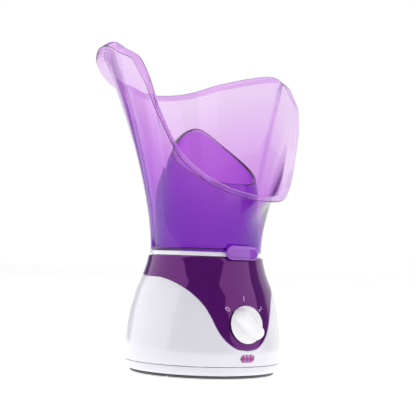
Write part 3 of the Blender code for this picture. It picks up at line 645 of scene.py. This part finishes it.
def make_collar(look):
    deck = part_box("upper_cover")[1].z + GAP
    skirt_r = BODY_MOUTH_R - 0.5 * MM
    ledge = BOWL_FLANGE_Z - 4 * MM
    seat = ledge + 2 * MM
    step_r = COWL_SOCKET_R - 1 * MM
    socket = COLLAR_TOP_Z - COWL_SOCKET_DEPTH
    outline = fillet([
        (COLLAR_R, COLLAR_TOP_Z), (COLLAR_R, deck), (skirt_r, deck), (skirt_r, ledge),
        (COLLAR_LEDGE_R, ledge), (COLLAR_LEDGE_R, seat), (COLLAR_SEAT_R, seat),
        (COLLAR_SEAT_R, COLLAR_SEAT_TOP_Z), (step_r, COLLAR_SEAT_TOP_Z), (step_r, socket),
        (COWL_SOCKET_R, socket), (COLLAR_BORE_R, COLLAR_TOP_Z),
    ], 0.5 * MM)
    return piece("collar_moulding", turned("collar", outline, 160), "base", look,
                 "white_plastic", "outlet_collar")


def make_bowl(look):
    top = BOWL_FLANGE_Z
    under = top - BOWL_FLANGE
    low = BOWL_LOW_Z
    outline = [
        (BOWL_FLANGE_R, top), (BOWL_FLANGE_R, under), (BOWL_R + 1.2 * MM, under),
        (BOWL_R, top - 3 * MM), (BOWL_R - 2 * MM, low + 10 * MM),
        (BOWL_R - 6 * MM, low + 2.5 * MM), (BOWL_R - 11 * MM, low), (0.0, low),
        (0.0, low + BOWL_WALL), (BOWL_R - 11.3 * MM, low + BOWL_WALL),
        (BOWL_R - 7.2 * MM, low + 3.6 * MM), (BOWL_R - 2 * MM - BOWL_WALL, low + 10.6 * MM),
        (BOWL_R - BOWL_WALL, top - 2 * MM), (BOWL_R + 0.4 * MM, top),
    ]
    return piece("bowl_pressing", turned("bowl", fillet(outline, 3.0 * MM, 5), 128), "base",
                 look, "bowl_aluminium", "water_bowl")


def make_seal(look):
    low, high = (corner.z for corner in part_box("bowl_seal"))
    outline = fillet([
        (BOWL_FLANGE_R, high), (BOWL_FLANGE_R, low), (40.8 * MM, low),
        (40.4 * MM, (low + high) / 2),
        (41.2 * MM, high),
    ], 0.8 * MM)
    return piece("seal_ring", turned("seal", outline, 128), "base", look,
                 "seal_silicone", "bowl_seal")


def make_feet(look):
    for i in range(4):
        node = f"foot_{i + 1}"
        low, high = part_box(node)
        radius = (high.x - low.x) / 2
        outline = fillet([(0, high.z), (radius, high.z), (radius, 0.7 * MM),
                          (radius - 0.7 * MM, 0), (0, 0)], 0.6 * MM)
        mesh = turned(f"pad_{i + 1}", outline, 64)
        placed(mesh, Matrix.Translation(((low.x + high.x) / 2, (low.y + high.y) / 2, 0)))
        piece(f"foot_pad_{i + 1}", mesh, "base", look, "foot_rubber", node)


def make_inlet(look):
    low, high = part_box("cord_inlet")
    outline = fillet([
        (INLET_FLANGE_R, INLET_FLANGE), (INLET_FLANGE_R, GAP), (INLET_R, GAP),
        (INLET_R, -INLET_DEPTH), (INLET_BORE_R, -INLET_DEPTH), (INLET_BORE_R, INLET_FLANGE),
    ], 0.5 * MM)
    mesh = turned("inlet_bush", outline, 64)
    place = Matrix.Translation((0, high.y - INLET_FLANGE, (low.z + high.z) / 2))
    placed(mesh, place @ Matrix.Rotation(-math.pi / 2, 4, "X"))
    return piece("inlet_bush", mesh, "base", look, "black_plastic", "cord_inlet")


# ---------------------------------------------------------------- clear pieces
def rim_points(steps):
    """The rim's fold all round, from the front middle towards +X."""
    mirrored = [(-RIM[1][0], *RIM[1][1:]), *RIM, (-RIM[-2][0], *RIM[-2][1:])]
    path = smooth_path(mirrored, steps)[steps:-steps]
    rim = path + [point * np.array((-1, 1, 1)) for point in path[-2:0:-1]]
    low = RIM[0][2]
    high = max(point[2] for point in RIM)
    for point in rim:
        point[2] -= WING_SKEW * point[0] / WING_X * (point[2] - low) / (high - low)
    return rim


def mask_columns():
    """Columns of points up the mask's wall, over its fold and out along its lip."""
    rim = rim_points(12)
    wall_rows = 11
    columns = []
    for i, fold in enumerate(rim):
        run = rim[(i + 1) % len(rim)] - rim[i - 1]
        outward = unit(np.array((run[1], -run[0], 0.0)))
        angle = math.atan2(fold[0], -fold[1])
        back = (1 - math.cos(angle)) / 2
        foot = around(MASK_FOOT_R, angle, MASK_FOOT_Z)
        waist = foot + np.array((0, 0, WAIST_RISE + WAIST_SHARE * (fold[2] - RIM[0][2])))
        column = []
        for row in range(wall_rows):
            t = row / wall_rows
            column.append((1 - t) ** 2 * foot + 2 * t * (1 - t) * waist + t * t * fold)
        width = LIP_WIDTH[0] + (LIP_WIDTH[1] - LIP_WIDTH[0]) * back
        drop = LIP_DROP[0] + (LIP_DROP[1] - LIP_DROP[0]) * back
        column.append(fold)
        column.append(fold + outward * width * 0.45 + np.array((0, 0, 0.6 * MM)))
        column.append(fold + outward * width - np.array((0, 0, drop)))
        columns.append(smooth_path(column, 3))
    return columns


def bent_tab(name, reach, half_height, profile, middle):
    """An obround relief bent round the collar, its depth counted from the tab's back."""
    mesh = relief(name, reach, half_height, profile)
    shape = bmesh.new()
    shape.from_mesh(mesh)
    bmesh.ops.subdivide_edges(shape, edges=[e for e in shape.edges if e.calc_length() > 3 * MM],
                              cuts=10, use_grid_fill=True)
    bmesh.ops.triangulate(shape, faces=[f for f in shape.faces if len(f.verts) > 4])
    for vert in shape.verts:
        angle = vert.co.x / TAB_OUTER_R + TAB_TURN
        vert.co = around(TAB_INNER_R + vert.co.z, angle, middle + vert.co.y)
    return finished(name, shape)


def make_mask(look, tab_look):
    columns = mask_columns()
    walls = np.interp(np.linspace(0, 1, len(columns[0])), (0, 0.25, 0.8),
                      (MASK_WALL, MASK_WALL, MASK_RIM_WALL))
    mesh = shell("mask", columns, walls, (MASK_WALL * CLEAR_ROUND, MASK_RIM_WALL * CLEAR_ROUND), 5)
    middle = MASK_FOOT_Z - 0.4 * MM
    half = TAB_HEIGHT / 2
    depth = TAB_OUTER_R - TAB_INNER_R
    face = depth - TAB_BORDER
    profile = [(0.4 * MM, 0), (0, 0.4 * MM), (0, depth - 0.7 * MM), (0.2 * MM, depth - 0.2 * MM),
               (0.7 * MM, depth), (1.5 * MM, depth), (1.9 * MM, depth - 0.2 * MM),
               (2.2 * MM, depth - 0.7 * MM), (2.7 * MM, face), (half, face)]
    tab = bent_tab("tab", TAB_LENGTH / 2 - half, half, profile, middle)
    back = TAB_INNER_R - MASK_FOOT_R
    web = bent_tab("web", TAB_LENGTH / 2 - half, WEB_HEIGHT / 2,
                   [(0, -back - 1.0 * MM), (0, 1.2 * MM), (WEB_HEIGHT / 2, 1.2 * MM)],
                   MASK_FOOT_Z + 3.4 * MM)
    for part in (tab, mesh):
        part.materials.append(look)
        part.materials.append(tab_look)
    for polygon in tab.polygons:
        polygon.material_index = 1
    mesh = combined(mesh, [tab, web], "UNION")
    return piece("mask_moulding", mesh, "mask", look, "clear_purple", "face_mask")


def make_cowl(look):
    count = 160
    rows = 12
    foot_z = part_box("steam_cowl")[0].z
    shoulder = COLLAR_TOP_Z + 0.9 * MM
    columns = []
    for i in range(count):
        angle = 2 * math.pi * i / count
        back = (1 - math.cos(angle)) / 2
        top = COWL_FRONT_Z + (COWL_BACK_Z - COWL_FRONT_Z) * back ** COWL_SWEEP
        column = [(COWL_FOOT_R, foot_z), (COWL_FOOT_R, foot_z + 3 * MM), (COWL_FOOT_R, shoulder),
                  (COWL_R, shoulder + 1.6 * MM)]
        start = column[-1][1]
        for row in range(1, rows + 1):
            rise = row / rows
            height = start + (top - start) * rise
            lean = max(0.0, height - COWL_DOME_Z) ** 2 / (2 * COWL_DOME_R)
            column.append((COWL_R - lean, height))
        lip_r, lip_z = column[-1]
        column.append((lip_r - 0.9 * MM, lip_z + 1.3 * MM))
        column.append((lip_r - COWL_LIP, lip_z + 1.4 * MM))
        columns.append([around(radius, angle, height)
                        for radius, height in smooth_path(column, 3)])
    mesh = shell("cowl", columns, COWL_WALL, (COWL_WALL * CLEAR_ROUND,) * 2, 5)
    return piece("cowl_moulding", mesh, "cowl", look, "clear_purple", "steam_cowl")


# -------------------------------------------------------------- knob and marks
def knob_placement():
    """The knob's frame at upright: X to the right, Y up the cover, Z out along its axis."""
    joint = JOINTS["knob_turn"]
    out = -Vector(joint["axis"]).normalized()
    right = Vector((1, 0, 0))
    up = out.cross(right)
    turn = Matrix((right, up, out)).transposed().to_4x4()
    return Matrix.Translation(joint["pos_m"]) @ turn


def make_knob(look, knob_frame):
    rim_low = 2 * GAP
    floor = 1.0 * MM
    disc = turned("knob_disc", fillet([
        (0.0, KNOB_DISC + 1.3 * MM), (KNOB_R * 0.55, KNOB_DISC + 0.9 * MM),
        (KNOB_R - 2.0 * MM, KNOB_DISC - 0.4 * MM), (KNOB_R, KNOB_DISC - 2.4 * MM),
        (KNOB_R, rim_low), (KNOB_R - 2 * MM, rim_low), (KNOB_R - 2 * MM, floor), (0.0, floor),
    ], 1.2 * MM), 128)
    half = GRIP_WIDTH / 2
    grip = relief("knob_grip", KNOB_R - half, half, [
        (0.0, 2.8 * MM), (0.2 * MM, 6.0 * MM), (0.9 * MM, 9.0 * MM), (1.9 * MM, 11.2 * MM),
        (3.2 * MM, 12.5 * MM), (4.8 * MM, KNOB_HEIGHT - 0.2 * MM), (half, KNOB_HEIGHT),
    ])
    for vert in grip.vertices:
        vert.co.z -= GRIP_FALL * (vert.co.x / KNOB_R) ** 2
    placed(grip, Matrix.Rotation(math.pi / 2, 4, "Z"))
    mesh = combined(disc, [grip], "UNION")
    blank = bpy.data.objects.new("knob_blank", mesh)
    bpy.context.scene.collection.objects.link(blank)
    remesh = blank.modifiers.new("even", "REMESH")
    remesh.mode = "VOXEL"
    remesh.voxel_size = 0.4 * MM
    soften = blank.modifiers.new("soften", "SMOOTH")
    soften.factor = 0.5
    soften.iterations = 5
    mesh = evaluated(blank, "knob_body")
    mesh = combined(mesh, [rod("socket", SOCKET_R, 0, SOCKET_DEPTH)])
    placed(mesh, knob_frame @ Matrix.Rotation(KNOB_REST, 4, "Z"))
    return piece("knob_moulding", mesh, "dial", look, "knob_white", "knob")


def make_marks(look, knob_frame):
    """The dial's numbers, printed on the cover round the knob."""
    for text, degrees, distance in MARKS:
        curve = bpy.data.curves.new("mark_curve", "FONT")
        curve.body = text
        curve.size = MARK_HEIGHT / CAPITAL
        curve.align_x = "CENTER"
        curve.align_y = "CENTER"
        curve.extrude = MARK_THICKNESS
        blank = bpy.data.objects.new("mark_blank", curve)
        bpy.context.scene.collection.objects.link(blank)
        mesh = evaluated(blank, f"mark_{text}")
        shape = bmesh.new()
        shape.from_mesh(mesh)
        turn = Matrix.Rotation(math.radians(degrees), 4, "Z")
        place = knob_frame @ turn @ Matrix.Translation((0, distance, 0))
        for vert in shape.verts:
            lift = vert.co.z
            spot = place @ Vector((vert.co.x, vert.co.y, 0))
            radius = skin_radius(spot.z) + lift
            vert.co = (spot.x, -math.sqrt(radius ** 2 - spot.x ** 2), spot.z)
        piece(f"dial_mark_{text}", finished(f"mark_{text}", shape), "base", look, "white_plastic")


def make_lens(look, lamp_look):
    half = LENS_HEIGHT / 2
    front = 3.2 * MM
    mesh = relief("lens", (LENS_LENGTH - LENS_HEIGHT) / 2, half, [
        (0.2 * MM, 0), (0, 0.2 * MM), (0, front - 1.0 * MM), (0.3 * MM, front - 0.4 * MM),
        (0.9 * MM, front), (1.8 * MM, front + 0.25 * MM), (half, front + 0.35 * MM),
    ])
    face_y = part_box("indicator_lens")[1].y
    facing = Matrix.Rotation(math.pi / 2, 4, "X")
    placed(mesh, Matrix.Translation((0, face_y, LENS_Z)) @ facing)
    piece("lens_moulding", mesh, "base", look, "lens_purple", "indicator_lens")
    dress(lamp_look, "neon_lamp")


# ------------------------------------------------------------- stage and camera
def direction(azimuth, elevation=0.0):
    """A direction seen from the object, its azimuth counted from the camera to the right."""
    angle = CAMERA_AZIMUTH - math.radians(azimuth)
    level = math.cos(math.radians(elevation))
    return Vector((-math.sin(angle) * level, -math.cos(angle) * level,
                   math.sin(math.radians(elevation))))


def softbox(name, azimuth, elevation, distance, width, height, glow):
    """A flat light of even glow, its middle in a direction from the object."""
    data = bpy.data.lights.new(name, "AREA")
    data.shape = "RECTANGLE"
    data.size = width
    data.size_y = height
    data.energy = glow * math.pi * width * height
    lamp = bpy.data.objects.new(name, data)
    bpy.context.scene.collection.objects.link(lamp)
    towards = direction(azimuth, elevation)
    lamp.location = LIGHTS_AIM + towards * distance
    lamp.rotation_mode = "QUATERNION"
    lamp.rotation_quaternion = towards.to_track_quat("Z", "Y")
    lamp.visible_camera = False
    lamp.visible_transmission = False
    return lamp


def fill_light(name, azimuth, elevation, distance, size, glow):
    """A soft light that leaves no reflection of its own."""
    softbox(name, azimuth, elevation, distance, size, size, glow).visible_glossy = False


def make_world():
    """White behind everything seen or seen through; dimmer towards the camera in reflections."""
    world = bpy.data.worlds.new("studio")
    bpy.context.scene.world = world
    world.use_nodes = True
    nodes = world.node_tree.nodes
    links_to = world.node_tree.links.new
    place = nodes.new("ShaderNodeTexCoord")
    facing = nodes.new("ShaderNodeVectorMath")
    facing.operation = "DOT_PRODUCT"
    facing.inputs[1].default_value = direction(BACKDROP_AZIMUTH)
    links_to(place.outputs["Generated"], facing.inputs[0])
    fade = nodes.new("ShaderNodeMapRange")
    fade.inputs["From Min"].default_value = BACKDROP_EDGE[0]
    fade.inputs["From Max"].default_value = BACKDROP_EDGE[1]
    fade.inputs["To Min"].default_value = DARK_SIDE
    fade.inputs["To Max"].default_value = 1.0
    links_to(facing.outputs["Value"], fade.inputs["Value"])
    path = nodes.new("ShaderNodeLightPath")
    dulled = nodes.new("ShaderNodeMath")
    dulled.operation = "MULTIPLY"
    dulled.inputs[1].default_value = SEEN_THROUGH
    links_to(path.outputs["Is Transmission Ray"], dulled.inputs[0])
    seen = nodes.new("ShaderNodeMath")
    seen.operation = "MAXIMUM"
    links_to(path.outputs["Is Camera Ray"], seen.inputs[0])
    links_to(dulled.outputs["Value"], seen.inputs[1])
    glow = nodes.new("ShaderNodeMath")
    glow.operation = "MAXIMUM"
    links_to(seen.outputs["Value"], glow.inputs[0])
    links_to(fade.outputs["Result"], glow.inputs[1])
    background = nodes["Background"]
    background.inputs["Color"].default_value = (1.0, 1.0, 1.0, 1.0)
    links_to(glow.outputs["Value"], background.inputs["Strength"])


def make_floor():
    shape = bmesh.new()
    bmesh.ops.create_circle(shape, cap_ends=True, segments=64, radius=FLOOR_RADIUS)
    floor = bpy.data.objects.new("floor", finished("floor", shape))
    bpy.context.scene.collection.objects.link(floor)
    made = Shader("floor_white", (0.94, 0.94, 0.94), 0.6)
    made.set("Emission Color", (1.0, 1.0, 1.0, 1.0)).set("Emission Strength", 0.66)
    made.uneven_gloss(0.5, 0.7, 3.0)
    behind = made.nodes.new("ShaderNodeEmission")
    behind.inputs["Strength"].default_value = SEEN_THROUGH
    made.for_rays("Is Transmission Ray", behind.outputs["Emission"])
    floor.data.materials.append(made.material)


def make_camera():
    right = Vector((math.cos(CAMERA_AZIMUTH), -math.sin(CAMERA_AZIMUTH), 0))
    level = Vector((math.sin(CAMERA_AZIMUTH), math.cos(CAMERA_AZIMUTH), 0))
    up = Vector((0, 0, 1))
    ahead = level * math.cos(CAMERA_PITCH) + up * math.sin(CAMERA_PITCH)
    above = up * math.cos(CAMERA_PITCH) - level * math.sin(CAMERA_PITCH)
    x_axis = right * math.cos(CAMERA_ROLL) + above * math.sin(CAMERA_ROLL)
    y_axis = above * math.cos(CAMERA_ROLL) - right * math.sin(CAMERA_ROLL)
    data = bpy.data.cameras.new("camera")
    data.lens = CAMERA_LENS
    data.sensor_width = 36.0
    data.shift_x = CAMERA_SHIFT
    data.clip_start = 0.05
    camera = bpy.data.objects.new("camera", data)
    bpy.context.scene.collection.objects.link(camera)
    turn = Matrix((x_axis, y_axis, -ahead)).transposed().to_4x4()
    camera.matrix_world = Matrix.Translation(-level * CAMERA_DISTANCE
                                             + up * CAMERA_HEIGHT) @ turn
    bpy.context.scene.camera = camera


def make_stage():
    make_world()
    make_floor()
    softbox("left_box", -90, 30, 1.0, 1.85, 1.9, 1.2)
    softbox("right_box", 66, 30, 1.0, 1.05, 1.9, 1.15)
    softbox("top_box", 180, 80, 1.3, 1.8, 1.8, 1.0)
    fill_light("right_fill", 75, 12, 1.0, 0.7, 0.5)
    scene = bpy.context.scene
    scene.view_settings.view_transform = "Standard"
    scene.cycles.max_bounces = 24
    scene.cycles.transmission_bounces = 20
    scene.cycles.transparent_max_bounces = 24
    scene.cycles.volume_bounces = 0
    scene.cycles.caustics_reflective = False
    scene.cycles.use_denoising = True


def make_everything():
    white = white_plastic()
    steel = plain("screw_steel", (0.62, 0.62, 0.60), 0.35, 1.0)
    sheet = plain("sheet_steel", (0.6, 0.6, 0.6), 0.4, 1.0)
    cast = plain("cast_aluminium", (0.6, 0.6, 0.6), 0.5, 1.0, 400.0, 0.3)
    black = plain("black_plastic", (0.03, 0.03, 0.033), 0.45)
    nylon = plain("nylon", (0.74, 0.73, 0.68), 0.5)
    clear = clear_plastic("clear_purple", ((0.96, 0.98, 0.94), (0.66, 0.4, 0.8)),
                          (0.66, 0.29, 0.87), MASK_WALL, 0.03)
    knob_frame = knob_placement()
    make_housing(white)
    make_cover(purple_plastic(), knob_frame)
    make_ring(white)
    make_collar(white)
    make_bowl(bowl_aluminium())
    make_seal(plain("seal_silicone", (0.8, 0.8, 0.78), 0.6))
    make_feet(plain("foot_rubber", (0.7, 0.67, 0.76), 0.6, 0.0, 1500.0, 0.3))
    make_inlet(black)
    make_cowl(clear)
    make_mask(clear, tab_plastic())
    make_knob(knob_plastic(), knob_frame)
    make_marks(plain("mark_ink", (0.62, 0.38, 0.66), 0.4), knob_frame)
    make_lens(lens_plastic_painted_glints(), plain("lamp_glass", (0.8, 0.55, 0.5), 0.15))
    dress(plain("plate_grey", (0.06, 0.06, 0.065), 0.5, 0.0, 1200.0, 0.3), "base_plate")
    dress(steel, *(f"base_screw_{i}" for i in range(1, 5)))
    dress(steel, *(f"bracket_screw_{i}" for i in range(1, 4)))
    dress(sheet, "heater_bracket", "switch_plate", "thermostat_blade_left",
          "thermostat_blade_right")
    dress(cast, "heat_spreader")
    dress(plain("element_steel", (0.34, 0.31, 0.29), 0.4, 1.0), "heating_element")
    dress(black, "thermostat", "rotary_switch")
    dress(nylon, "terminal_block", "switch_shaft")
    dress(plain("post_white", (0.8, 0.8, 0.82), 0.4), *(f"bracket_post_{i}" for i in range(1, 4)))
    dress(plain("lead_sleeve", (0.45, 0.05, 0.04), 0.7, 0.0, 2500.0, 0.5),
          "heater_lead_left", "heater_lead_right")


make_camera()
make_stage()
make_everything()
